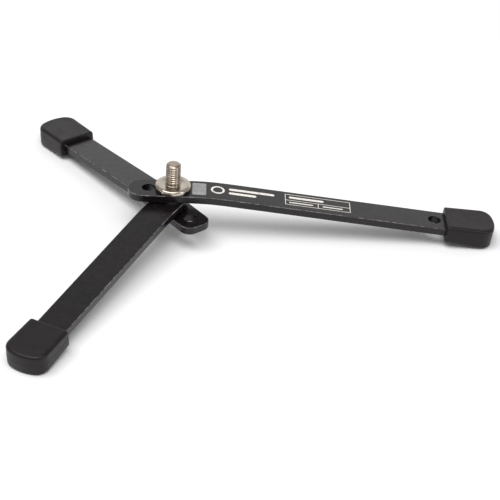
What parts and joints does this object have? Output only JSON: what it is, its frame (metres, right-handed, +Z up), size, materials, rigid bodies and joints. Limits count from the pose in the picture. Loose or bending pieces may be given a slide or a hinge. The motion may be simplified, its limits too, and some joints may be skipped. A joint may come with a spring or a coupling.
{
  "type": "folding table microphone stand",
  "caption": "Low folding table stand: bent flat-bar legs with rubber feet swing about one threaded stud with a round flange.",
  "frame": {"origin": "on the stud axis where the stud leaves the top face of its round flange", "axes": "+Z up along the stud, +X out along the top leg, +Y to the left of the top leg seen from above"},
  "size_m": [0.3014, 0.2787, 0.0485],
  "materials": {
    "black_powder_coat": "semi-matt black powder coat on steel",
    "black_rubber": "matt moulded rubber",
    "nickel_plate": "bright nickel plate on steel",
    "zinc_plate": "zinc-plated steel",
    "label_film": "matt grey film"
  },
  "bodies": {
    "stud_and_top_leg": {"pivot_stud": "nickel_plate", "stud_flange": "nickel_plate", "top_leg": "black_powder_coat", "top_foot_cap": "black_rubber", "grey_label": "label_film", "upper_spacer": "zinc_plate", "lower_spacer": "zinc_plate", "under_washer": "zinc_plate", "spring_washer": "zinc_plate", "lock_nut": "zinc_plate"},
    "middle_leg": {"middle_leg": "black_powder_coat", "middle_foot_cap": "black_rubber"},
    "bottom_leg": {"bottom_leg": "black_powder_coat", "bottom_foot_cap": "black_rubber"}
  },
  "joints": [
    {"name": "middle_leg_swing", "type": "hinge", "parent": "stud_and_top_leg", "child": "middle_leg", "pos_m": [0, 0, -0.0123], "axis": [0, 0, 1], "range_deg": [-45, 100]},
    {"name": "bottom_leg_swing", "type": "hinge", "parent": "stud_and_top_leg", "child": "bottom_leg", "pos_m": [0, 0, -0.0185], "axis": [0, 0, 1], "range_deg": [-115, 45]}
  ]
}
